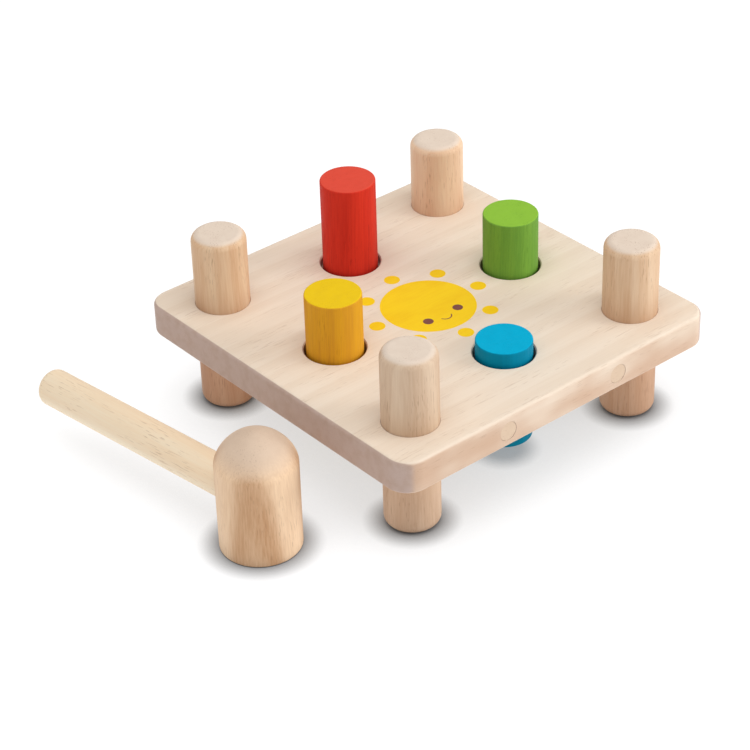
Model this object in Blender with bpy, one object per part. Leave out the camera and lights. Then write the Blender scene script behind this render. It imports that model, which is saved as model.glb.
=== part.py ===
"""Wooden hammer bench: a square board on four through legs, four pegs and a mallet.

Metres, +Z up. The floor is at z = 0 and the origin lies on it, under the middle of the
whole set. X runs along the board's front edge and Y towards its back edge.
"""
import math

import bmesh
import bpy
from mathutils import Matrix, Vector

# Clearances
GAP = 0.0003            # between two pieces that rest on, or are glued into, each other
PEG_PLAY = 0.0014       # between a peg and the wall of its hole, all round
GROOVE_WALL = 0.0004    # wood left between a grip groove and a cross dowel's bore
DOWEL_RECESS = 0.0001   # a cross dowel's end sits this far inside the board's edge

# Board
BOARD_SIDE = 0.2165
BOARD_THICK = 0.0188
BOARD_CORNER_R = 0.0128
BOARD_EDGE_R = 0.0022
HOLE_PITCH = 0.0628     # centre of the board to the centre of each peg hole
HOLE_EASE = 0.0006      # the holes' rims are broken by this much
GROOVE_DEPTH = 0.0011   # grip groove, into the wall of a peg hole

# Legs, which stand out above and below so that the bench can be turned over
LEG_R = 0.015
LEG_INSET = 0.0305      # edge of the board to the centre line of a leg
LEG_PROUD = 0.0429
LEG_EDGE_R = 0.0047

# Cross dowels, which keep the board from splitting along its grain
DOWEL_R = 0.0054

# Pegs
PEG_R = 0.0153
PEG_LENGTH = 0.059
PEG_EDGE_R = 0.0008
RED_ENTRY = 0.0073      # length of the red peg inside its hole
YELLOW_BELOW = 0.0066   # lower end of the yellow peg under the board's underside
GREEN_BELOW = 0.0077
BLUE_OVER_FLOOR = 0.0106

# Mallet
HEAD_R = 0.0216
HEAD_STRAIGHT = 0.0498  # height of the straight part of the head
HEAD_DOME = 0.0191
HEAD_DOME_POWER = 1.68  # 2 is an ellipse, less is more pointed
HEAD_EDGE_R = 0.0012
HANDLE_R = 0.0103
HANDLE_REACH = 0.158    # head's axis to the free end of the handle
HANDLE_SEAT = 0.012     # how far the handle runs past the head's axis
HANDLE_HEIGHT = 0.0290
HANDLE_END_R = 0.0042
MALLET_FROM_SIDE = 0.0181   # clear floor between the board's left edge and the head
MALLET_FROM_FRONT = 0.0675  # front edge of the board to the head's axis
MALLET_TURN = math.radians(97.6)

# Facets
ROUND_STEPS = 40
RING_STEPS = 32
RING_FACETS = 8
SMALL_STEPS = 24
FILLET_STEPS = 4
CORNER_STEPS = 8
DOME_STEPS = 9
OVERCUT = 0.002         # cutters pass the faces that they open by this much
MERGE = 0.000001
SHARP_ANGLE = math.radians(35)

# Places that follow from the sizes
BOARD_TOP = LEG_PROUD + BOARD_THICK
BOARD_MIDDLE = LEG_PROUD + BOARD_THICK / 2
LEG_CENTRE = BOARD_SIDE / 2 - LEG_INSET
LEG_LENGTH = BOARD_THICK + 2 * LEG_PROUD
HOLE_R = PEG_R + PEG_PLAY
GROOVE_R = HOLE_R + GROOVE_DEPTH
RING_SECTION_R = (GROOVE_R - GAP - (PEG_R + GAP)) / 2
RING_R = PEG_R + GAP + RING_SECTION_R
BORE_R = DOWEL_R + GAP
DOWEL_CENTRE = min(LEG_CENTRE / 2, HOLE_PITCH - GROOVE_R - GROOVE_WALL - BORE_R)
MALLET_X = -(BOARD_SIDE / 2 + MALLET_FROM_SIDE + HEAD_R)
MALLET_Y = MALLET_FROM_FRONT - BOARD_SIDE / 2

LEG_PLACES = {
    "leg_front_left": (-LEG_CENTRE, -LEG_CENTRE),
    "leg_front_right": (LEG_CENTRE, -LEG_CENTRE),
    "leg_back_left": (-LEG_CENTRE, LEG_CENTRE),
    "leg_back_right": (LEG_CENTRE, LEG_CENTRE),
}
# colour: (place of its hole, height of the peg's lower end above the floor)
PEG_PLACES = {
    "red": ((0, HOLE_PITCH), BOARD_TOP - RED_ENTRY),
    "yellow": ((-HOLE_PITCH, 0), LEG_PROUD - YELLOW_BELOW),
    "green": ((HOLE_PITCH, 0), LEG_PROUD - GREEN_BELOW),
    "blue": ((0, -HOLE_PITCH), BLUE_OVER_FLOOR),
}
# finish: (linear colour, roughness, metallic)
FINISHES = {
    "board_wood": ((0.78, 0.63, 0.46), 0.55, 0.0),
    "leg_wood": ((0.66, 0.47, 0.31), 0.55, 0.0),
    "dowel_wood": ((0.60, 0.46, 0.34), 0.60, 0.0),
    "head_wood": ((0.68, 0.51, 0.37), 0.50, 0.0),
    "handle_wood": ((0.85, 0.68, 0.47), 0.50, 0.0),
    "red_stain": ((0.66, 0.04, 0.03), 0.50, 0.0),
    "yellow_stain": ((0.83, 0.53, 0.01), 0.50, 0.0),
    "green_stain": ((0.22, 0.48, 0.06), 0.50, 0.0),
    "blue_stain": ((0.00, 0.36, 0.63), 0.50, 0.0),
    "grip_rubber": ((0.03, 0.02, 0.02), 0.80, 0.0),
}


def clear_scene():
    for old in list(bpy.data.objects):
        bpy.data.objects.remove(old)


def finish_material(name):
    colour, roughness, metallic = FINISHES[name]
    made = bpy.data.materials.get(name) or bpy.data.materials.new(name)
    made.use_nodes = True
    shader = made.node_tree.nodes["Principled BSDF"]
    shader.inputs["Base Color"].default_value = (*colour, 1)
    shader.inputs["Roughness"].default_value = roughness
    shader.inputs["Metallic"].default_value = metallic
    return made


def place(name, shape, parent, location=(0, 0, 0), rotation=(0, 0, 0)):
    """Turn a bmesh into a smooth-shaded object under its parent."""
    mesh = bpy.data.meshes.new(name)
    shape.to_mesh(mesh)
    shape.free()
    mesh.shade_smooth()
    mesh.set_sharp_from_angle(angle=SHARP_ANGLE)
    piece = bpy.data.objects.new(name, mesh)
    bpy.context.scene.collection.objects.link(piece)
    piece.parent = parent
    piece.location = location
    piece.rotation_euler = rotation
    return piece


def empty(name, parent=None, location=(0, 0, 0), rotation=(0, 0, 0)):
    marker = bpy.data.objects.new(name, None)
    bpy.context.scene.collection.objects.link(marker)
    marker.parent = parent
    marker.location = location
    marker.rotation_euler = rotation
    return marker


def cut(piece, cutter):
    """Take the cutter's shape out of the piece, and keep the cutter as a guide."""
    cutter.hide_render = True
    cutter.display_type = "WIRE"
    modifier = piece.modifiers.new("cut_" + cutter.name, "BOOLEAN")
    modifier.operation = "DIFFERENCE"
    modifier.solver = "EXACT"
    modifier.object = cutter


def turned(profile, steps, closed=False):
    """Spin an outline of (radius, height) points once round the Z axis."""
    shape = bmesh.new()
    points = [shape.verts.new((radius, 0, height)) for radius, height in profile]
    lines = [shape.edges.new(pair) for pair in zip(points, points[1:])]
    if closed:
        lines.append(shape.edges.new((points[-1], points[0])))
    bmesh.ops.spin(shape, geom=points + lines, cent=(0, 0, 0), axis=(0, 0, 1),
                   angle=math.tau, steps=steps, use_merge=True)
    bmesh.ops.remove_doubles(shape, verts=shape.verts, dist=MERGE)
    bmesh.ops.recalc_face_normals(shape, faces=shape.faces)
    return shape


def rod_profile(radius, low, high, low_edge, high_edge, edge_steps=FILLET_STEPS):
    """Outline of a round bar from its top end down to its lower end, edges rounded."""
    points = [(0, high)]
    for step in range(edge_steps + 1):
        turn = math.pi / 2 * step / edge_steps
        points.append((radius - high_edge * (1 - math.sin(turn)),
                       high - high_edge * (1 - math.cos(turn))))
    for step in range(edge_steps + 1):
        turn = math.pi / 2 * step / edge_steps
        points.append((radius - low_edge * (1 - math.cos(turn)),
                       low + low_edge * (1 - math.sin(turn))))
    points.append((0, low))
    return points


def plain_rod(radius, length, steps):
    """A round bar with square ends, centred on the origin and standing on Z."""
    shape = bmesh.new()
    bmesh.ops.create_cone(shape, cap_ends=True, segments=steps, radius1=radius,
                          radius2=radius, depth=length)
    return shape


def board_plate():
    """The square plate: a block whose upright edges are rounded before its rims."""
    shape = bmesh.new()
    bmesh.ops.create_cube(shape, size=1)
    bmesh.ops.scale(shape, vec=(BOARD_SIDE, BOARD_SIDE, BOARD_THICK), verts=shape.verts)
    upright = [edge for edge in shape.edges
               if abs(edge.verts[0].co.z - edge.verts[1].co.z) > MERGE]
    bmesh.ops.bevel(shape, geom=upright, offset=BOARD_CORNER_R, segments=CORNER_STEPS,
                    profile=0.5, affect="EDGES")
    rims = [edge for edge in shape.edges
            if abs(edge.verts[0].co.z - edge.verts[1].co.z) < MERGE]
    bmesh.ops.bevel(shape, geom=rims, offset=BOARD_EDGE_R, segments=FILLET_STEPS,
                    profile=0.5, affect="EDGES")
    return shape


def peg_hole():
    """Cutter for one peg hole: eased rims and a grip groove at half the thickness."""
    half = BOARD_THICK / 2
    groove_half = RING_SECTION_R + GAP
    flare = HOLE_R + HOLE_EASE + OVERCUT
    return turned([
        (0, half + OVERCUT), (flare, half + OVERCUT), (HOLE_R, half - HOLE_EASE),
        (HOLE_R, groove_half), (GROOVE_R, groove_half),
        (GROOVE_R, -groove_half), (HOLE_R, -groove_half),
        (HOLE_R, HOLE_EASE - half), (flare, -half - OVERCUT), (0, -half - OVERCUT),
    ], ROUND_STEPS)


def make_board(bench):
    board = place("board", board_plate(), bench, (0, 0, BOARD_MIDDLE))
    board.data.materials.append(finish_material("board_wood"))
    for name, (x, y) in LEG_PLACES.items():
        socket = plain_rod(LEG_R + GAP, BOARD_THICK + 2 * OVERCUT, ROUND_STEPS)
        cut(board, place("socket_" + name, socket, bench, (x, y, BOARD_MIDDLE)))
    for colour, ((x, y), _) in PEG_PLACES.items():
        cut(board, place("hole_" + colour, peg_hole(), bench, (x, y, BOARD_MIDDLE)))
    for side, x in dowel_places().items():
        bore = plain_rod(BORE_R, BOARD_SIDE + 2 * OVERCUT, SMALL_STEPS)
        cut(board, place("bore_" + side, bore, bench, (x, 0, BOARD_MIDDLE),
                         (math.pi / 2, 0, 0)))


def dowel_places():
    return {"left": -DOWEL_CENTRE, "right": DOWEL_CENTRE}


def make_cross_dowels(bench):
    for side, x in dowel_places().items():
        rod = plain_rod(DOWEL_R, BOARD_SIDE - 2 * DOWEL_RECESS, SMALL_STEPS)
        dowel = place("cross_dowel_" + side, rod, bench, (x, 0, BOARD_MIDDLE),
                      (math.pi / 2, 0, 0))
        dowel.data.materials.append(finish_material("dowel_wood"))


def make_legs(bench):
    for name, (x, y) in LEG_PLACES.items():
        profile = rod_profile(LEG_R, 0, LEG_LENGTH, LEG_EDGE_R, LEG_EDGE_R)
        leg = place(name, turned(profile, ROUND_STEPS), bench, (x, y, 0))
        leg.data.materials.append(finish_material("leg_wood"))


def make_grip_rings(bench):
    section = []
    for facet in range(RING_FACETS):
        turn = math.tau * (facet + 0.5) / RING_FACETS
        section.append((RING_R + RING_SECTION_R * math.cos(turn),
                        RING_SECTION_R * math.sin(turn)))
    for colour, ((x, y), _) in PEG_PLACES.items():
        shape = turned(section, RING_STEPS, closed=True)
        ring = place("grip_ring_" + colour, shape, bench, (x, y, BOARD_MIDDLE))
        ring.data.materials.append(finish_material("grip_rubber"))


def make_pegs(bench):
    """Each peg hangs from an empty on the line that it slides along."""
    for colour, ((x, y), low) in PEG_PLACES.items():
        slide = empty("slide_" + colour, bench, (x, y, low))
        profile = rod_profile(PEG_R, 0, PEG_LENGTH, PEG_EDGE_R, PEG_EDGE_R, 2)
        peg = place("peg_" + colour, turned(profile, ROUND_STEPS), slide)
        peg.data.materials.append(finish_material(colour + "_stain"))


def head_profile():
    """Outline of the mallet's head: a bullet dome on a straight bar."""
    top = HEAD_STRAIGHT + HEAD_DOME
    points = [(0, top)]
    for step in range(1, DOME_STEPS + 1):
        turn = math.pi / 2 * step / DOME_STEPS
        points.append((HEAD_R * math.sin(turn) ** (2 / HEAD_DOME_POWER),
                       HEAD_STRAIGHT + HEAD_DOME * math.cos(turn) ** (2 / HEAD_DOME_POWER)))
    points += [(HEAD_R, HEAD_EDGE_R), (HEAD_R - HEAD_EDGE_R, 0), (0, 0)]
    return points


def make_mallet():
    """The head stands on its striking face, and the handle lies along local X."""
    mallet = empty("mallet", None, (MALLET_X, MALLET_Y, 0), (0, 0, MALLET_TURN))
    head = place("mallet_head", turned(head_profile(), ROUND_STEPS), mallet)
    head.data.materials.append(finish_material("head_wood"))

    lying = (0, math.pi / 2, 0)
    seat = HANDLE_SEAT + GAP
    socket = plain_rod(HANDLE_R + GAP, seat + HEAD_R + OVERCUT, RING_STEPS)
    middle = (HEAD_R + OVERCUT - seat) / 2
    cut(head, place("socket_handle", socket, mallet, (middle, 0, HANDLE_HEIGHT), lying))

    profile = rod_profile(HANDLE_R, -HANDLE_SEAT, HANDLE_REACH, HEAD_EDGE_R, HANDLE_END_R)
    handle = place("mallet_handle", turned(profile, RING_STEPS), mallet,
                   (0, 0, HANDLE_HEIGHT), lying)
    handle.data.materials.append(finish_material("handle_wood"))
    return mallet


def centre_on_origin(groups):
    """Move the groups so that the set's box is centred on the origin, standing at z = 0."""
    bpy.context.view_layer.update()
    corners = [piece.matrix_world @ vertex.co for piece in bpy.data.objects
               if piece.type == "MESH" and not piece.hide_render
               for vertex in piece.data.vertices]
    low = Vector([min(corner[axis] for corner in corners) for axis in range(3)])
    high = Vector([max(corner[axis] for corner in corners) for axis in range(3)])
    middle = (low + high) / 2
    shift = Matrix.Translation((-middle.x, -middle.y, -low.z))
    for group in groups:
        group.matrix_world = shift @ group.matrix_world


def main():
    clear_scene()
    bench = empty("bench")
    make_board(bench)
    make_legs(bench)
    make_cross_dowels(bench)
    make_grip_rings(bench)
    make_pegs(bench)
    mallet = make_mallet()
    centre_on_origin([bench, mallet])


main()
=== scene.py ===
# %% [markdown]
# # A wooden hammer bench
# A square board stands on four legs that pass right through it. Four stained pegs sit in holes
# with rubber grip rings, and a mallet waits beside the board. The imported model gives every
# place and size, and this script gives each piece its fine shape and its finish.

# %% Load the frame
import math

import bmesh
import bpy
from mathutils import Matrix, Vector


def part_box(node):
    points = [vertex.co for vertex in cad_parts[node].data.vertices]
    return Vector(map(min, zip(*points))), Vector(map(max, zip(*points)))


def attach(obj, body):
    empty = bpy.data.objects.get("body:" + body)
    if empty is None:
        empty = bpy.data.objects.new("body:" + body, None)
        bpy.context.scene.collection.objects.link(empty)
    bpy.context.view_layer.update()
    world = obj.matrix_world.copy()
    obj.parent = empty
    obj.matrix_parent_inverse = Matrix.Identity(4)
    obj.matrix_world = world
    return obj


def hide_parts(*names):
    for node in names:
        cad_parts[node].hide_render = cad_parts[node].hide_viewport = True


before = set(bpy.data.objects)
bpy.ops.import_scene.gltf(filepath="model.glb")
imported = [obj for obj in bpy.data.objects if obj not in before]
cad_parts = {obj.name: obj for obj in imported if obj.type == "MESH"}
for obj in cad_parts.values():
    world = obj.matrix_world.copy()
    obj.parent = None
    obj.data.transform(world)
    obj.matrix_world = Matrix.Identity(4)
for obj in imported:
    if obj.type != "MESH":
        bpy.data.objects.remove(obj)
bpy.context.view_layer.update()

# %% [markdown]
# The finishes are matched, so colours should come out as they are set. The Standard view
# keeps them, where the default one would wash the stains out.

# %% Colour view
bpy.context.scene.view_settings.view_transform = "Standard"
MM = 0.001

# %% [markdown]
# ## Places and sizes
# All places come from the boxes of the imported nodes. Only what a box can't tell is a value
# here: the play round a peg, how far rims are rounded, and how the mallet lies.

# %% Places
def middle(node):
    low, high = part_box(node)
    return (low + high) / 2


def size(node):
    low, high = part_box(node)
    return high - low


BOARD = middle("board")
BOARD_SIZE = size("board")
BOARD_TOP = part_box("board")[1].z
LEGS = ["leg_front_left", "leg_front_right", "leg_back_left", "leg_back_right"]
COLOURS = ["red", "yellow", "green", "blue"]
LEG_R = size("leg_front_left").x / 2
PEG_R = size("peg_red").x / 2
PEG_PLAY = 1.4 * MM     # what a hole leaves open round its peg
HOLE_R = PEG_R + PEG_PLAY
SNUG = 0.08 * MM        # what a glued joint leaves open
OVERCUT = 2 * MM        # cutters pass the faces that they open by this much
HEAD = middle("mallet_head")
HEAD_R = size("mallet_head").x / 2
HANDLE_TURN = math.radians(97.6)
print("board", [round(v / MM, 1) for v in BOARD_SIZE], "mm, top at", round(BOARD_TOP / MM, 1), "mm")

# %% [markdown]
# ## Small helpers
# An operator works on whatever is selected, so every step starts from a clean selection. Edges
# and faces are picked by where they lie, which a short test function tells.

# %% Helpers for modelling
def only(piece):
    """Make one object the single selected and active one."""
    bpy.ops.object.select_all(action="DESELECT")
    piece.select_set(True)
    bpy.context.view_layer.objects.active = piece


def added(name):
    """Name the primitive that an operator has just added."""
    piece = bpy.context.object
    piece.name = piece.data.name = name
    return piece


def pick(piece, mode, test):
    """In edit mode, select just the edges or faces that pass the test."""
    if piece.mode != "EDIT":
        bpy.ops.object.mode_set(mode="EDIT")
    bpy.ops.mesh.select_mode(type=mode)
    bpy.ops.mesh.select_all(action="DESELECT")
    shape = bmesh.from_edit_mesh(piece.data)
    for part in (shape.edges if mode == "EDGE" else shape.faces):
        if test(part):
            part.select_set(True)
    shape.select_flush_mode()
    bmesh.update_edit_mesh(piece.data)


def centre_of(edge):
    return (edge.verts[0].co + edge.verts[1].co) / 2


def finish_shape(piece, angle=35):
    """Leave edit mode, put the place into the mesh and shade the round faces smooth."""
    if piece.mode == "EDIT":
        bpy.ops.object.mode_set(mode="OBJECT")
    only(piece)
    bpy.ops.object.transform_apply(location=True, rotation=True, scale=True)
    bpy.ops.object.shade_smooth_by_angle(angle=math.radians(angle))
    weighted = piece.modifiers.new("even_shading", "WEIGHTED_NORMAL")
    weighted.keep_sharp = True
    bpy.ops.object.modifier_apply(modifier=weighted.name)
    return piece


# %% [markdown]
# What the bench has several of is modelled once. The others are copies of the finished piece,
# each with a mesh of its own, moved to their places.

# %% Copies and hand-over
def copy_to(piece, name, shift):
    """A copy with its own mesh, moved by shift."""
    twin = piece.copy()
    twin.data = piece.data.copy()
    twin.name = twin.data.name = name
    twin.data.transform(Matrix.Translation(shift))
    bpy.context.scene.collection.objects.link(twin)
    return twin


def one_for_each(piece, prefix, nodes):
    """The piece stands at the first node. Name it, and give every other node a copy."""
    piece.name = piece.data.name = prefix + nodes[0]
    pieces = {nodes[0]: piece}
    for node in nodes[1:]:
        pieces[node] = copy_to(piece, prefix + node, middle(node) - middle(nodes[0]))
    return pieces


def stands_for(piece, node, body, material):
    """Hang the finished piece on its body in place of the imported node."""
    piece.data.materials.clear()
    piece.data.materials.append(material)
    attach(piece, body)
    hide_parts(node)


# %% [markdown]
# ## Camera
# The camera stands to the front left, well above the board, with a long lens, so the edges
# hardly converge. It is placed from the board, by azimuth, height and distance.

# %% Camera
LENS_MM = 117.31
VIEW_AZIMUTH = math.radians(-39.21)
VIEW_HEIGHT = math.radians(33.48)
VIEW_ROLL = math.radians(-1.87)
VIEW_DISTANCE = 1.2623
VIEW_TARGET = Vector((BOARD.x - 0.0643, BOARD.y - 0.0343, BOARD_TOP))

back = Vector((math.sin(VIEW_AZIMUTH) * math.cos(VIEW_HEIGHT),
               -math.cos(VIEW_AZIMUTH) * math.cos(VIEW_HEIGHT), math.sin(VIEW_HEIGHT)))
lens = bpy.data.cameras.new("camera")
lens.sensor_width = 36
lens.lens = LENS_MM
lens.clip_start, lens.clip_end = 0.05, 20
camera = bpy.data.objects.new("camera", lens)
camera.rotation_mode = "QUATERNION"
camera.location = VIEW_TARGET + back * VIEW_DISTANCE
camera.rotation_quaternion = ((-back).to_track_quat("-Z", "Y")
                              @ Matrix.Rotation(VIEW_ROLL, 4, "Z").to_quaternion())
bpy.context.scene.collection.objects.link(camera)
bpy.context.scene.camera = camera
print("camera at", [round(v, 3) for v in camera.location])

# %% [markdown]
# ## Node helpers
# Colours are written as sRGB hex values, as in a colour picker, and turned to linear ones in a
# single place. One function adds any node with its settings and its links.

# %% Helpers for materials
def colour(code):
    """sRGB hex to linear RGBA."""
    parts = [int(code[i:i + 2], 16) / 255 for i in (1, 3, 5)]
    return tuple(p / 12.92 if p <= 0.04045 else ((p + 0.055) / 1.055) ** 2.4 for p in parts) + (1,)


def feed(tree, node, inputs):
    """Link each input that is given a socket, and set each one that is given a value."""
    for key, value in inputs.items():
        if isinstance(value, bpy.types.NodeSocket):
            tree.links.new(value, node.inputs[key])
        else:
            node.inputs[key].default_value = value


def add(tree, kind, inputs=None, out=None, **settings):
    """Add a node, and return the output asked for, or else the first that its settings leave on."""
    node = tree.nodes.new(kind)
    for key, value in settings.items():
        setattr(node, key, value)
    feed(tree, node, inputs or {})
    return node.outputs[out] if out else next(o for o in node.outputs if o.enabled)


def new_material(name):
    material = bpy.data.materials.new(name)
    material.use_nodes = True
    tree = material.node_tree
    return material, tree, tree.nodes["Principled BSDF"]


# %% [markdown]
# ## Wood
# Rubberwood is a pale, even hardwood. Under clear matt lacquer it shows faint growth rings, a
# slow drift of tone, and the cut vessels: thin brown dashes along the grain, which end in
# dots on a cut end. All of it is read from one log. A Mapping node of type Texture lays the
# log in space, so its own Z runs along the grain, and every face cuts the same rings.

# %% The log and its figure
UPRIGHT = (0, 0, 0)
LYING_X = (0, math.pi / 2, 0)
LYING_Y = (math.pi / 2, 0, 0)


def log_space(tree, pith, lie):
    """Coordinates in the log, in metres: Z along the grain, the pith on the Z axis."""
    place = add(tree, "ShaderNodeTexCoord", out="Object")
    return add(tree, "ShaderNodeMapping", {"Vector": place, "Location": pith, "Rotation": lie},
               vector_type="TEXTURE")


def streaks(tree, log, across_mm, along_mm, low, high, detail=2.0):
    """0 to 1: soft marks across_mm wide and along_mm long, on from low to high of the noise."""
    squeeze = (1 / (across_mm * MM), 1 / (across_mm * MM), 1 / (along_mm * MM))
    drawn = add(tree, "ShaderNodeVectorMath", {0: log, 1: squeeze}, operation="MULTIPLY")
    noise = add(tree, "ShaderNodeTexNoise", {"Vector": drawn, "Scale": 1.0, "Detail": detail})
    return add(tree, "ShaderNodeMapRange", {"Value": noise, "From Min": low, "From Max": high},
               interpolation_type="SMOOTHSTEP")


def growth_rings(tree, log, ring_mm, wander_mm):
    """0 to 1 through each year's growth: distance from the pith, pushed about by slow noise."""
    slow = add(tree, "ShaderNodeVectorMath", {0: log, 1: (30.0, 30.0, 6.0)}, operation="MULTIPLY")
    wander = add(tree, "ShaderNodeTexNoise", {"Vector": slow, "Scale": 1.0, "Detail": 1.0})
    flat = add(tree, "ShaderNodeVectorMath", {0: log, 1: (1, 1, 0)}, operation="MULTIPLY")
    radius = add(tree, "ShaderNodeVectorMath", {0: flat}, operation="LENGTH")
    pushed = add(tree, "ShaderNodeMath", {0: wander, 1: wander_mm * MM, 2: radius},
                 operation="MULTIPLY_ADD")
    years = add(tree, "ShaderNodeMath", {0: pushed, 1: ring_mm * MM}, operation="DIVIDE")
    return add(tree, "ShaderNodeMath", {0: years}, operation="FRACT")


def cut_across(tree, lie, low, high):
    """1 where the surface cuts across the grain, 0 where it runs along it."""
    normal = add(tree, "ShaderNodeTexCoord", out="Normal")
    turned = add(tree, "ShaderNodeMapping", {"Vector": normal, "Rotation": lie},
                 vector_type="TEXTURE")
    along = add(tree, "ShaderNodeSeparateXYZ", {0: turned}, out="Z")
    facing = add(tree, "ShaderNodeMath", {0: along}, operation="ABSOLUTE")
    return add(tree, "ShaderNodeMapRange", {"Value": facing, "From Min": low, "From Max": high},
               interpolation_type="SMOOTHSTEP")


# %% [markdown]
# The board's edges look browner than its faces, more in some places than in others, so a
# tint is laid where the surface stands upright. The tint is matched.

# %% Toned edges
def edge_toned(tree, log, body, tint):
    """The body's colour, tinted where the surface stands upright."""
    normal = add(tree, "ShaderNodeTexCoord", out="Normal")
    up = add(tree, "ShaderNodeSeparateXYZ", {0: normal}, out="Z")
    level = add(tree, "ShaderNodeMath", {0: up}, operation="ABSOLUTE")
    edge = add(tree, "ShaderNodeMapRange", {"Value": level, "From Min": 0.9, "From Max": 0.3},
               interpolation_type="SMOOTHSTEP")
    uneven = streaks(tree, log, 25, 60, 0.2, 0.6)
    share = add(tree, "ShaderNodeMath", {0: edge, 1: uneven}, operation="MULTIPLY")
    return add(tree, "ShaderNodeMix", {0: share, 6: body, 7: colour(tint)}, data_type="RGBA",
               blend_type="MULTIPLY")


# %% [markdown]
# Under the board the wood looks darker and browner. Most of that is shade, which the glowing
# floor below washes out, so a matched tint stands in for it. It is painted on: it stays in any
# light and from any side, and a use in other light may want it off (low_tint=None).

# %% Tint for the shaded ends
def toned_below(tree, log, body, tint, low, high):
    """The body's colour times the tint up to `low` on the log's Z, fading out at `high`."""
    height = add(tree, "ShaderNodeSeparateXYZ", {0: log}, out="Z")
    share = add(tree, "ShaderNodeMapRange", {"Value": height, "From Min": high, "From Max": low},
                interpolation_type="SMOOTHSTEP")
    return add(tree, "ShaderNodeMix", {0: share, 6: body, 7: colour(tint)}, data_type="RGBA",
               blend_type="MULTIPLY")


# %% [markdown]
# The same figure serves bare and stained wood. Stain soaks into the wood, so the pores and the
# rings still show, only darker and more saturated. A cut end drinks more of any finish, so it
# has a tone of its own. The lacquer is matt: rubbed flat, it hardly mirrors anything, which is
# a low specular level and a high roughness.

# %% One function for all the woods
def wood(name, tones, pith, lie=UPRIGHT, ring_mm=8, rings=0.3, wander_mm=6, drift=0.3, fibre=0.2,
         vessels=0.3, vessel_cut=0.60, end_from=0.60, end_full=0.95, end_share=0.85,
         blotch=0.06, edge_tint=None, low_tint=None, late=(0.1, 0.7, 0.92), roughness=0.55,
         specular=0.2):
    """A wood of four tones: light, dark, pore and cut end. Rings, drift, fibre and vessels say
    how strongly each shows. The cut end's tone comes in from end_from to end_full of how
    squarely the grain is cut. Late says where in a year the dark wood starts, is full and ends."""
    light, dark, pore, end = [colour(code) for code in tones]
    material, tree, shader = new_material(name)
    log = log_space(tree, pith, lie)

    # rings, drift and fibre add up to how far the tone goes from light to dark
    year = growth_rings(tree, log, ring_mm, wander_mm)
    late_from, late_full, late_end = late
    late = add(tree, "ShaderNodeMapRange", {"Value": year, "From Min": late_from,
               "From Max": late_full, "To Max": rings}, interpolation_type="SMOOTHSTEP")
    winter = add(tree, "ShaderNodeMapRange", {"Value": year, "From Min": 1.0, "From Max": late_end},
                 interpolation_type="SMOOTHSTEP")
    late = add(tree, "ShaderNodeMath", {0: late, 1: winter}, operation="MULTIPLY")
    slow = streaks(tree, log, 14, 120, 0.3, 0.7)
    fine = streaks(tree, log, 0.9, 25, 0.3, 0.7, detail=3.0)
    tone = add(tree, "ShaderNodeMath", {0: slow, 1: drift, 2: late}, operation="MULTIPLY_ADD")
    tone = add(tree, "ShaderNodeMath", {0: fine, 1: fibre, 2: tone}, operation="MULTIPLY_ADD",
               use_clamp=True)
    body = add(tree, "ShaderNodeMix", {0: tone, 6: light, 7: dark}, data_type="RGBA")

    # vessels: about 0.3 mm wide on the real wood, drawn 0.6 mm wide so that they show
    dashes = streaks(tree, log, 0.6, 8, vessel_cut, vessel_cut + 0.10, detail=1.0)
    patches = streaks(tree, log, 9, 50, 0.42, 0.62)
    marks = add(tree, "ShaderNodeMath", {0: dashes, 1: patches}, operation="MULTIPLY")
    marks = add(tree, "ShaderNodeMath", {0: marks, 1: vessels}, operation="MULTIPLY")
    body = add(tree, "ShaderNodeMix", {0: marks, 6: body, 7: pore}, data_type="RGBA")

    if edge_tint:
        body = edge_toned(tree, log, body, edge_tint)
    if low_tint:
        body = toned_below(tree, log, body, *low_tint)

    # the cut end: pores as dots, in soft blotches where the finish sank in
    blotches = streaks(tree, log, 5, 5, 0.35, 0.75, detail=3.0)
    sunk = add(tree, "ShaderNodeMath", {0: blotches, 1: blotch, 2: marks}, operation="MULTIPLY_ADD")
    cut = add(tree, "ShaderNodeMix", {0: sunk, 6: end, 7: pore}, data_type="RGBA")
    across = cut_across(tree, lie, end_from, end_full)
    share = add(tree, "ShaderNodeMath", {0: across, 1: end_share}, operation="MULTIPLY")
    body = add(tree, "ShaderNodeMix", {0: share, 6: body, 7: cut}, data_type="RGBA")

    rubbed = streaks(tree, log, 2.5, 12, 0.3, 0.7)
    rough = add(tree, "ShaderNodeMapRange", {"Value": rubbed, "To Min": roughness - 0.05,
                "To Max": roughness + 0.08})
    height = add(tree, "ShaderNodeMath", {0: marks, 1: -1.0, 2: fine}, operation="MULTIPLY_ADD")
    bump = add(tree, "ShaderNodeBump", {"Height": height, "Strength": 0.25, "Distance": 0.06 * MM})
    feed(tree, shader, {"Base Color": body, "Roughness": rough, "Normal": bump, "IOR": 1.5,
                        "Specular IOR Level": specular})
    return material


# %% [markdown]
# ## The board
# A planed rubberwood panel, 19 mm thick, its corners cut round and its rims eased with a
# router. It starts as a block. The four upright edges are bevelled first, then both rims in one
# go, so that the rims follow the round corners.

# %% Board blank
BOARD_CORNER_R = 12.8 * MM
BOARD_EDGE_R = 2.2 * MM

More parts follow.
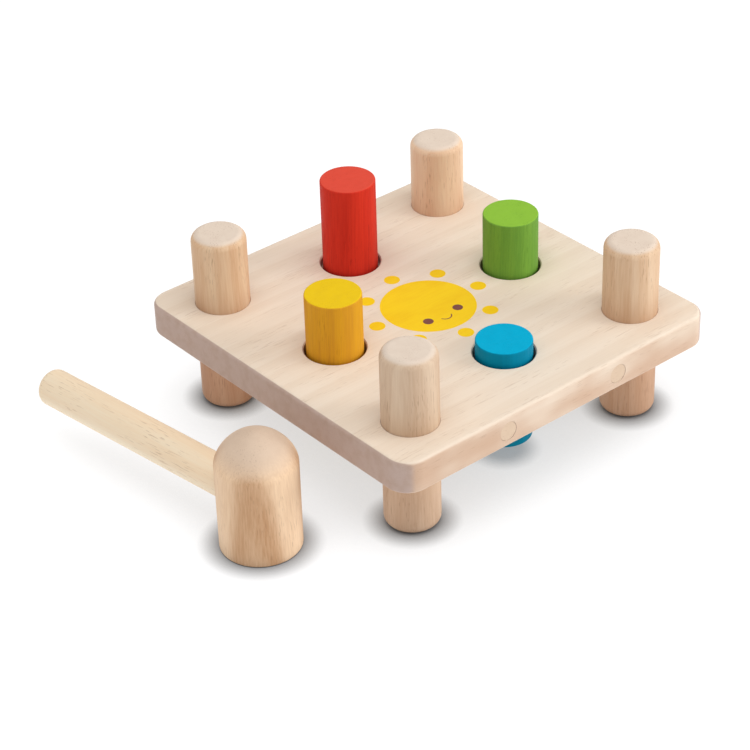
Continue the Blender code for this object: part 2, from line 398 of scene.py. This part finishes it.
only(camera)
bpy.ops.mesh.primitive_cube_add(size=1, location=BOARD, scale=BOARD_SIZE)
board = added("panel_board")
bpy.ops.object.transform_apply(location=False, rotation=False, scale=True)
pick(board, "EDGE", lambda e: abs(e.verts[0].co.z - e.verts[1].co.z) > 1 * MM)
bpy.ops.mesh.bevel(offset=BOARD_CORNER_R, segments=20, affect="EDGES")
pick(board, "EDGE", lambda e: abs(e.verts[0].co.z - e.verts[1].co.z) < 0.1 * MM)
bpy.ops.mesh.bevel(offset=BOARD_EDGE_R, segments=8, affect="EDGES")
bpy.ops.object.mode_set(mode="OBJECT")
print("board blank:", len(board.data.polygons), "faces")

# %% [markdown]
# The holes are bored with cutters. A peg hole's cutter is a round bar whose ends flare, which
# breaks the sharp rims, and whose waist bulges into the groove that holds the grip ring.

# %% Cutters and boring
RIM_EASE = 0.6 * MM
SOCKET_EASE = 0.12 * MM
RING_R = size("grip_ring_red").x / 2
GROOVE_R = RING_R + 0.3 * MM
GROOVE_HALF = size("grip_ring_red").z / 2 + 0.3 * MM


def flared_bar(name, radius, ease, at):
    """Round cutter through the board, flared at both faces by the rim's ease."""
    straight = BOARD_SIZE.z - 2 * ease
    bpy.ops.mesh.primitive_cylinder_add(vertices=128, radius=radius, depth=straight, location=at)
    bar = added(name)
    for side in (1, -1):
        pick(bar, "FACE", lambda f: f.normal.z * side > 0.9)
        rise = side * (ease + OVERCUT)
        bpy.ops.mesh.extrude_region_move(TRANSFORM_OT_translate={"value": (0, 0, rise)})
        grow = (radius + ease + OVERCUT) / radius
        bpy.ops.transform.resize(value=(grow, grow, 1))
    return bar


def add_groove(bar):
    """Two cuts round the waist, then the band between them pushed outwards."""
    for height in (GROOVE_HALF, -GROOVE_HALF):
        bpy.ops.mesh.select_all(action="SELECT")
        bpy.ops.mesh.bisect(plane_co=bar.location + Vector((0, 0, height)), plane_no=(0, 0, 1))
    pick(bar, "FACE", lambda f: abs(f.calc_center_median().z) < GROOVE_HALF
         and abs(f.normal.z) < 0.5)
    bpy.ops.mesh.extrude_region_shrink_fatten(
        TRANSFORM_OT_shrink_fatten={"value": GROOVE_R - HOLE_R})


def bore(piece, cutter):
    """Cut the cutter's shape out of the piece and throw the cutter away."""
    if cutter.mode == "EDIT":
        bpy.ops.object.mode_set(mode="OBJECT")
    only(piece)
    cutting = piece.modifiers.new("bore", "BOOLEAN")
    cutting.operation, cutting.solver, cutting.object = "DIFFERENCE", "EXACT", cutter
    bpy.ops.object.modifier_apply(modifier=cutting.name)
    bpy.data.objects.remove(cutter)


for node in LEGS:
    at = Vector((middle(node).x, middle(node).y, BOARD.z))
    bore(board, flared_bar("socket", LEG_R + SNUG, SOCKET_EASE, at))
for name in COLOURS:
    at = Vector((middle("peg_" + name).x, middle("peg_" + name).y, BOARD.z))
    cutter = flared_bar("hole", HOLE_R, RIM_EASE, at)
    add_groove(cutter)
    bore(board, cutter)
for side in ("left", "right"):
    node = "cross_dowel_" + side
    bpy.ops.mesh.primitive_cylinder_add(vertices=64, radius=size(node).x / 2 + SNUG,
                                        depth=BOARD_SIZE.y + 2 * OVERCUT,
                                        location=middle(node), rotation=LYING_Y)
    bore(board, added("bore"))
finish_shape(board, 30)
print("bored board:", len(board.data.polygons), "faces")

# %% [markdown]
# The panel's grain runs along X, so its left and right edges are cut ends, which are darker and
# greyer than the long edges. The change of tone is quick, and falls in the round corners.

# %% Board wood
BOARD_PITH = (0, -0.35, -0.16)
board_wood = wood("Rubberwood panel, matt lacquer", ("#F4E4D1", "#DFC6AB", "#A98465", "#C6AEA2"),
                  pith=BOARD_PITH, lie=LYING_X, ring_mm=11, rings=0.15, wander_mm=12,
                  drift=0.15, fibre=0.1, vessels=0.25, end_from=0.32, end_full=0.60, end_share=1,
                  blotch=0.25, edge_tint="#E2CEC2")
stands_for(board, "board", "bench", board_wood)

# %% [markdown]
# ## Legs
# Four lengths of 30 mm dowel, glued through the board. Their ends are rounded over in a lathe.
# A cylinder already has the dowel's shape, and a bevel of the two end rims rounds it over. No
# two dowels look alike, so each leg has tones and a pith of its own. Each also has a painted
# shade of its own towards its foot, for the shade under the board.

# %% Legs
LEG_EDGE_R = 4.7 * MM
LEG_LEAN = (math.radians(1.5), math.radians(-2), 0)
LEG_TINT_SPAN = (-10 * MM, 30 * MM)     # tint full and tint gone, from the leg's middle


def dowel(name, radius, length, at, edge_r, lie=UPRIGHT, segments=6, sides=96):
    """A round bar with both end rims rounded over by edge_r."""
    bpy.ops.mesh.primitive_cylinder_add(vertices=sides, radius=radius, depth=length,
                                        location=at, rotation=lie)
    bar = added(name)
    pick(bar, "EDGE", lambda e: abs(abs(centre_of(e).z) - length / 2) < 0.01 * MM)
    bpy.ops.mesh.bevel(offset=edge_r, segments=segments, affect="EDGES")
    return finish_shape(bar)


LEG_PORE, LEG_END = "#94694A", "#EADACA"
# per leg: light and dark tones, the painted shade towards the foot, and the pith's offset
LEG_LOOKS = {
    "leg_front_left": ("#E2C9AE", "#C7A587", "#F8F0EC", (0.030, 0.062, 0)),
    "leg_front_right": ("#EDD0B0", "#D3AA84", "#E0D0CC", (-0.040, 0.030, 0)),
    "leg_back_left": ("#F2D6B4", "#D6A981", "#CFBBB6", (0.045, -0.030, 0)),
    "leg_back_right": ("#F8DCBC", "#E4B894", "#E0D0CC", (-0.020, -0.055, 0)),
}
leg = dowel("leg", LEG_R, size(LEGS[0]).z, middle(LEGS[0]), LEG_EDGE_R)
for node, leg in one_for_each(leg, "turned_", LEGS).items():
    light, dark, foot, away = LEG_LOOKS[node]
    leg_wood = wood("Rubberwood dowel, " + node, (light, dark, LEG_PORE, LEG_END),
                    pith=middle(node) + Vector(away), lie=LEG_LEAN, ring_mm=9, rings=0.25,
                    drift=0.3, fibre=0.25, vessels=0.35, low_tint=(foot, *LEG_TINT_SPAN))
    stands_for(leg, node, "bench", leg_wood)
print("legs:", round(size(LEGS[0]).z / MM, 1), "mm long")

# %% [markdown]
# ## Cross dowels
# Two thin dowels run across the grain inside the board and keep it from splitting. Only their
# sanded ends show in the edges, so the wood's cut end is what matters.

# %% Cross dowels
RODS = ["cross_dowel_left", "cross_dowel_right"]
rod = dowel("rod", size(RODS[0]).x / 2, size(RODS[0]).y, middle(RODS[0]), 0.2 * MM, LYING_Y,
            segments=2, sides=64)
for node, rod in one_for_each(rod, "pinned_", RODS).items():
    rod_wood = wood("Rubberwood pin, " + node, ("#DCC2A6", "#C9A98A", "#9A7758", "#E0C6AC"),
                    pith=middle(node) + Vector((0.012, 0, 0.01)), lie=LYING_Y, ring_mm=4)
    stands_for(rod, node, "bench", rod_wood)
print("cross dowels:", round(size(RODS[0]).x / MM, 1), "mm thick")

# %% [markdown]
# ## Grip rings
# A rubber ring sits in the groove of each hole and squeezes the peg. Moulded rubber is dark and
# dull, with a fine skin that scatters light. A torus has the ring's round section, and its inner
# side is pressed flat where it bears on the peg.

# %% Rubber
def rubber(name):
    """Natural rubber, moulded: an IOR of 1.52 and a skin too dull to mirror anything."""
    material, tree, shader = new_material(name)
    place = add(tree, "ShaderNodeTexCoord", out="Object")
    skin = add(tree, "ShaderNodeTexNoise", {"Vector": place, "Scale": 1 / (0.8 * MM)})
    tone = add(tree, "ShaderNodeMix", {0: skin, 6: colour("#2A211D"), 7: colour("#3B302A")},
               data_type="RGBA")
    feed(tree, shader, {"Base Color": tone, "Roughness": 0.8, "IOR": 1.52})
    return material


# %% Grip rings
BEARING_R = PEG_R + 0.35 * MM
grip_rubber = rubber("Moulded rubber")
rings = ["grip_ring_" + name for name in COLOURS]
section = size(rings[0]).z / 2
bpy.ops.mesh.primitive_torus_add(location=middle(rings[0]), major_radius=RING_R - section,
                                 minor_radius=section, major_segments=96, minor_segments=16)
ring = added("ring")
bpy.ops.object.mode_set(mode="EDIT")
shape = bmesh.from_edit_mesh(ring.data)
for corner in shape.verts:
    reach = corner.co.xy.length
    if reach < BEARING_R:
        corner.co.xy *= BEARING_R / reach
bmesh.update_edit_mesh(ring.data)
finish_shape(ring, 60)
for node, ring in one_for_each(ring, "rubber_", rings).items():
    stands_for(ring, node, "bench", grip_rubber)
print("grip rings:", round(2 * RING_R / MM, 1), "mm across")

# %% [markdown]
# ## Pegs
# The pegs are cut from dowel and dipped in stain. Their ends stay crisp, with just the burr
# taken off. Stain goes on evenly but darkens the vessels. The top of each peg, a cut end, has a
# tone lighter and less saturated than the side: partly the end grain, partly painted light and
# sheen on the lit top. The blue peg's lower end shows under the board, so it gets the painted
# shade too.

# %% Pegs
PEG_EDGE_R = 0.8 * MM
PEG_LEAN = (math.radians(1), math.radians(2), 0)
# per stain: light, dark, pore, the top's tone with its painted light and sheen, and the pith's
# offset
STAINS = {
    "red": ("#E43C2A", "#C42A20", "#8A1712", "#E85542", (0.05, 0.03, 0)),
    "yellow": ("#EAAC28", "#D08C2E", "#B0701C", "#F4D018", (-0.04, 0.05, 0)),
    "green": ("#80B244", "#66983C", "#47762A", "#96C840", (0.03, -0.06, 0)),
    "blue": ("#0090B6", "#0082A4", "#005C80", "#00B4DC", (-0.06, -0.02, 0)),
}
# painted shade on the blue peg's lower end, which shows under the board
SHADED_END = {"blue": ("#C0D8D2", -24 * MM, -12 * MM)}
pegs = ["peg_" + name for name in COLOURS]
peg = dowel("peg", PEG_R, size(pegs[0]).z, middle(pegs[0]), PEG_EDGE_R, segments=3)
for node, peg in one_for_each(peg, "stained_", pegs).items():
    name = node.removeprefix("peg_")
    *tones, away = STAINS[name]
    stain = wood("Rubberwood stained " + name, tones, pith=middle(node) + Vector(away),
                 lie=PEG_LEAN, ring_mm=8, rings=0.2, drift=0.3, fibre=0.3, vessels=0.3,
                 low_tint=SHADED_END.get(name), specular=0.06)
    stands_for(peg, node, name + "_peg", stain)
print("pegs:", round(size(pegs[0]).z / MM, 1), "mm long")

# %% [markdown]
# ## Printed sun
# A plain sun is screen printed in the middle of the board: a disc, a ring of dots, two eyes and
# a smile. Screen ink lies on the wood as a thin film, so each shape is a very thin plate, and
# its edge thins out where the ink ran a little.

# %% Print plates
INK = 0.05 * MM
SUN = Vector((BOARD.x + 0.6 * MM, BOARD.y - 2.1 * MM, BOARD_TOP))
SUN_R = 26.2 * MM
DOT_RING_R = 33.7 * MM
DOT_R = 4.4 * MM
DOT_COUNT = 8
FIRST_DOT = math.radians(-5)


def ink_plate(name, at, radius, thick=INK, sides=48):
    """A thin round plate, half sunk into the wood, with its upper rim thinned out."""
    bpy.ops.mesh.primitive_cylinder_add(vertices=sides, radius=radius, depth=2 * thick, location=at)
    plate = added(name)
    pick(plate, "EDGE", lambda e: min(v.co.z for v in e.verts) > 0)
    bpy.ops.mesh.bevel(offset=0.7 * thick, segments=2, affect="EDGES")
    return finish_shape(plate)


def join(pieces, name):
    only(pieces[0])
    for piece in pieces:
        piece.select_set(True)
    bpy.ops.object.join()
    joined = bpy.context.object
    joined.name = joined.data.name = name
    return joined


def dot_place(count):
    turn = FIRST_DOT + math.tau * count / DOT_COUNT
    return DOT_RING_R * Vector((math.cos(turn), math.sin(turn), 0))


# %% Disc and dots
dot = ink_plate("sun_dot", SUN + dot_place(0), DOT_R)
dots = [copy_to(dot, "sun_dot", dot_place(count) - dot_place(0)) for count in range(1, DOT_COUNT)]
sun = join([ink_plate("sun_disc", SUN, SUN_R, sides=160), dot] + dots, "sun_print")


# %% [markdown]
# Ink is laid on evenly and dries slightly glossy. It sinks into the pores, so the wood's figure
# still shows through it, and its pattern uses the same log as the board.

# %% Screen ink
def ink(name, light, dark):
    """Screen ink: an even, slightly glossy film, thinner over the pores of the wood."""
    material, tree, shader = new_material(name)
    log = log_space(tree, BOARD_PITH, LYING_X)
    thin = streaks(tree, log, 1.2, 14, 0.4, 0.7)
    cloud = streaks(tree, log, 12, 20, 0.35, 0.65)
    share = add(tree, "ShaderNodeMath", {0: thin, 1: 0.6, 2: cloud}, operation="MULTIPLY_ADD")
    share = add(tree, "ShaderNodeMath", {0: share, 1: 0.5}, operation="MULTIPLY")
    tone = add(tree, "ShaderNodeMix", {0: share, 6: colour(light), 7: colour(dark)},
               data_type="RGBA")
    feed(tree, shader, {"Base Color": tone, "Roughness": 0.5, "Specular IOR Level": 0.15})
    return material


def print_on_board(piece, material):
    """The ink belongs to the board and moves with it."""
    piece.data.materials.clear()
    piece.data.materials.append(material)
    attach(piece, "bench")


print_on_board(sun, ink("Yellow screen ink", "#FFD51C", "#F9C816"))
print("sun print:", round(2 * SUN_R / MM), "mm across")

# %% [markdown]
# The face is the simplest there is: two round dots and an arc. The arc is half of a thin ring,
# with both cut ends closed.

# %% Eyes and smile
EYE_ASIDE = 10.5 * MM
EYE_BELOW = 12 * MM
EYE_R = 2.9 * MM
SMILE_BELOW = 13.5 * MM
SMILE_R = 3.6 * MM
LINE_R = 0.45 * MM
FACE_INK = 0.09 * MM

eye = ink_plate("eye", SUN + Vector((-EYE_ASIDE, -EYE_BELOW, 0)), EYE_R, FACE_INK)
marks = [eye, copy_to(eye, "eye", Vector((2 * EYE_ASIDE, 0, 0)))]
bpy.ops.mesh.primitive_torus_add(location=SUN + Vector((0, -SMILE_BELOW, 0)),
                                 major_radius=SMILE_R, minor_radius=LINE_R,
                                 major_segments=64, minor_segments=8)
smile = added("smile")
pick(smile, "FACE", lambda f: f.calc_center_median().y > -0.35 * SMILE_R)
bpy.ops.mesh.delete(type="FACE")
pick(smile, "EDGE", lambda e: e.is_boundary)
bpy.ops.mesh.edge_face_add()
bpy.ops.mesh.select_all(action="SELECT")
bpy.ops.transform.resize(value=(1, 1, FACE_INK / LINE_R))
marks.append(finish_shape(smile))
print_on_board(join(marks, "sun_face"), ink("Brown screen ink", "#845248", "#75463E"))

# %% [markdown]
# ## Mallet
# The head is turned: a straight bar with a bullet dome, standing on its flat striking face. It
# starts as a cylinder for the straight part. Its top face is then extruded up in small steps
# and drawn in after the dome's curve.

# %% Mallet head
HEAD_STRAIGHT = 49.8 * MM
DOME_POWER = 1.68
DOME_STEPS = 16
HEAD_EDGE_R = 1.2 * MM
head_floor, head_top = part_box("mallet_head")[0].z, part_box("mallet_head")[1].z
dome = head_top - head_floor - HEAD_STRAIGHT


def dome_point(step):
    """Radius and height of the dome's curve, from its foot at 0 to its top at DOME_STEPS."""
    turn = math.pi / 2 * step / DOME_STEPS
    return (HEAD_R * math.cos(turn) ** (2 / DOME_POWER), dome * math.sin(turn) ** (2 / DOME_POWER))


bpy.ops.mesh.primitive_cylinder_add(vertices=128, radius=HEAD_R, depth=HEAD_STRAIGHT,
                                    location=(HEAD.x, HEAD.y, head_floor + HEAD_STRAIGHT / 2))
head = added("turned_mallet_head")
pick(head, "EDGE", lambda e: max(v.co.z for v in e.verts) < -HEAD_STRAIGHT / 2 + 0.01 * MM)
bpy.ops.mesh.bevel(offset=HEAD_EDGE_R, segments=4, affect="EDGES")
pick(head, "FACE", lambda f: f.normal.z > 0.9)
for step in range(1, DOME_STEPS):
    radius, height = dome_point(step)
    last_radius, last_height = dome_point(step - 1)
    rise = (0, 0, height - last_height)
    bpy.ops.mesh.extrude_region_move(TRANSFORM_OT_translate={"value": rise})
    shrink = radius / last_radius
    bpy.ops.transform.resize(value=(shrink, shrink, 1))
bpy.ops.mesh.extrude_region_move(
    TRANSFORM_OT_translate={"value": (0, 0, dome - dome_point(DOME_STEPS - 1)[1])})
bpy.ops.mesh.merge(type="CENTER")
bpy.ops.object.mode_set(mode="OBJECT")
print("mallet head:", round((head_top - head_floor) / MM, 1), "mm tall")

# %% [markdown]
# The handle is a thinner dowel, glued into a blind hole in the side of the head. The hole is
# bored a hair wider, which leaves the fine dark line of a real joint.

# %% Handle and its socket
HANDLE_R = size("mallet_handle").z / 2
HANDLE_SEAT = 12 * MM
HANDLE_REACH = 158 * MM
HANDLE_END_R = 4.2 * MM
HANDLE_LIE = (0, math.pi / 2, HANDLE_TURN)
handle_way = Vector((math.cos(HANDLE_TURN), math.sin(HANDLE_TURN), 0))
axis_point = Vector((HEAD.x, HEAD.y, middle("mallet_handle").z))


def handle_middle(start, end):
    return axis_point + handle_way * (start + end) / 2


seat = -HANDLE_SEAT - SNUG
bpy.ops.mesh.primitive_cylinder_add(vertices=96, radius=HANDLE_R + SNUG,
                                    depth=HEAD_R + OVERCUT - seat,
                                    location=handle_middle(seat, HEAD_R + OVERCUT),
                                    rotation=HANDLE_LIE)
bore(head, added("socket"))
finish_shape(head, 30)
length = HANDLE_SEAT + HANDLE_REACH
handle = dowel("dowel_mallet_handle", HANDLE_R, length, handle_middle(-HANDLE_SEAT, HANDLE_REACH),
               HANDLE_END_R, HANDLE_LIE)
print("handle:", round(length / MM), "mm long")

# %% [markdown]
# The head was turned from a billet whose pith lay outside it, in front and to the left. One
# growth layer is shaved there, and shows as a tall warm arch that closes where the dome starts.
# The pale wood on either side of the arch is partly painted light: the pith is set so that it
# also stands in for the light on the head's sides.

# %% Mallet woods
HANDLE_PITH = axis_point + Vector((0.03, 0, -0.05))
# the pith's way and distance also leave the head's sides pale: partly painted light
HEAD_PITH_WAY = Vector((-0.68, -0.73, 0))
HEAD_PITH_AWAY = 92.2 * MM
HEAD_LEAN = (math.radians(3.9), math.radians(-3.2), 0)
head_wood = wood("Rubberwood, turned head", ("#FFDEBA", "#C6966C", "#8E6545", "#E0C8B2"),
                 pith=HEAD + HEAD_PITH_WAY * HEAD_PITH_AWAY, lie=HEAD_LEAN, ring_mm=26, rings=0.9,
                 wander_mm=4, drift=0.15, fibre=0.2, vessels=0.25, end_from=0.3, end_full=0.85,
                 late=(0.3, 1.0, 0.72))
stands_for(head, "mallet_head", "mallet", head_wood)
handle_wood = wood("Rubberwood handle", ("#FFEFD4", "#F8D4AA", "#A67C58", "#FAE4CC"),
                   pith=HANDLE_PITH, lie=HANDLE_LIE, ring_mm=9, rings=0.2, drift=0.25,
                   fibre=0.15, vessels=0.4)
stands_for(handle, "mallet_handle", "mallet", handle_wood)

# %% [markdown]
# ## Floor and light
# A white studio sweep and big soft lights. The sweep is lit from behind, so it glows, and the
# shadows on it stay pale and grey. Under the board and round each foot the glow is dimmed by the
# share of open sky over each point: a painted shadow, with painted dark lines at the feet. One
# large light from above gives the bright tops, one from the right models the round pieces, and
# the pale room fills the rest.

# %% Floor
WIDE_REACH = 0.12       # what shades a point softly, in metres
NEAR_REACH = 0.0125     # what stands close enough to leave a dark line

only(camera)
bpy.ops.mesh.primitive_plane_add(size=14, location=(0, 0, 0))
floor = added("studio_floor")
floor_paint, tree, shader = new_material("Backlit white acrylic")
place = add(tree, "ShaderNodeTexCoord", out="Object")
grit = add(tree, "ShaderNodeTexNoise", {"Vector": place, "Scale": 400.0, "Detail": 3.0})
paint = add(tree, "ShaderNodeMix", {0: grit, 6: colour("#7A7A7C"), 7: colour("#7E7E80")},
            data_type="RGBA")
# painted shadow: the floor's glow is dimmed under the board and in dark lines round each foot
sky = add(tree, "ShaderNodeAmbientOcclusion", {"Distance": WIDE_REACH}, out="AO", samples=12)
under = add(tree, "ShaderNodeMapRange", {"Value": sky, "From Max": 0.75, "To Min": 0.5,
            "To Max": 0.9})
gap = add(tree, "ShaderNodeAmbientOcclusion", {"Distance": NEAR_REACH}, out="AO", samples=12)
contact = add(tree, "ShaderNodeMath", {0: gap, 1: 2.5}, operation="POWER")
glow = add(tree, "ShaderNodeMath", {0: under, 1: contact}, operation="MULTIPLY")
feed(tree, shader, {"Base Color": paint, "Roughness": 0.9, "Specular IOR Level": 0.0,
                    "Emission Color": colour("#FFFFFF"), "Emission Strength": glow})
floor.data.materials.append(floor_paint)

# %% Lights
room = bpy.data.worlds.new("pale_room")
room.use_nodes = True
feed(room.node_tree, room.node_tree.nodes["Background"],
     {"Color": colour("#FFFFFF"), "Strength": 0.44})
bpy.context.scene.world = room


def soft_light(name, at, width, power):
    """A round soft box that looks at the middle of the bench."""
    lamp = bpy.data.lights.new(name, "AREA")
    lamp.shape, lamp.size, lamp.energy = "DISK", width, power
    fixture = bpy.data.objects.new(name, lamp)
    fixture.location = at
    way = Vector((0, 0, BOARD_TOP)) - Vector(at)
    fixture.rotation_euler = way.to_track_quat("-Z", "Y").to_euler()
    bpy.context.scene.collection.objects.link(fixture)


soft_light("top_light", (-0.1, -0.2, 1.8), 1.6, 15.8)
soft_light("side_light", (1.45, -1.35, 0.65), 1.1, 18)
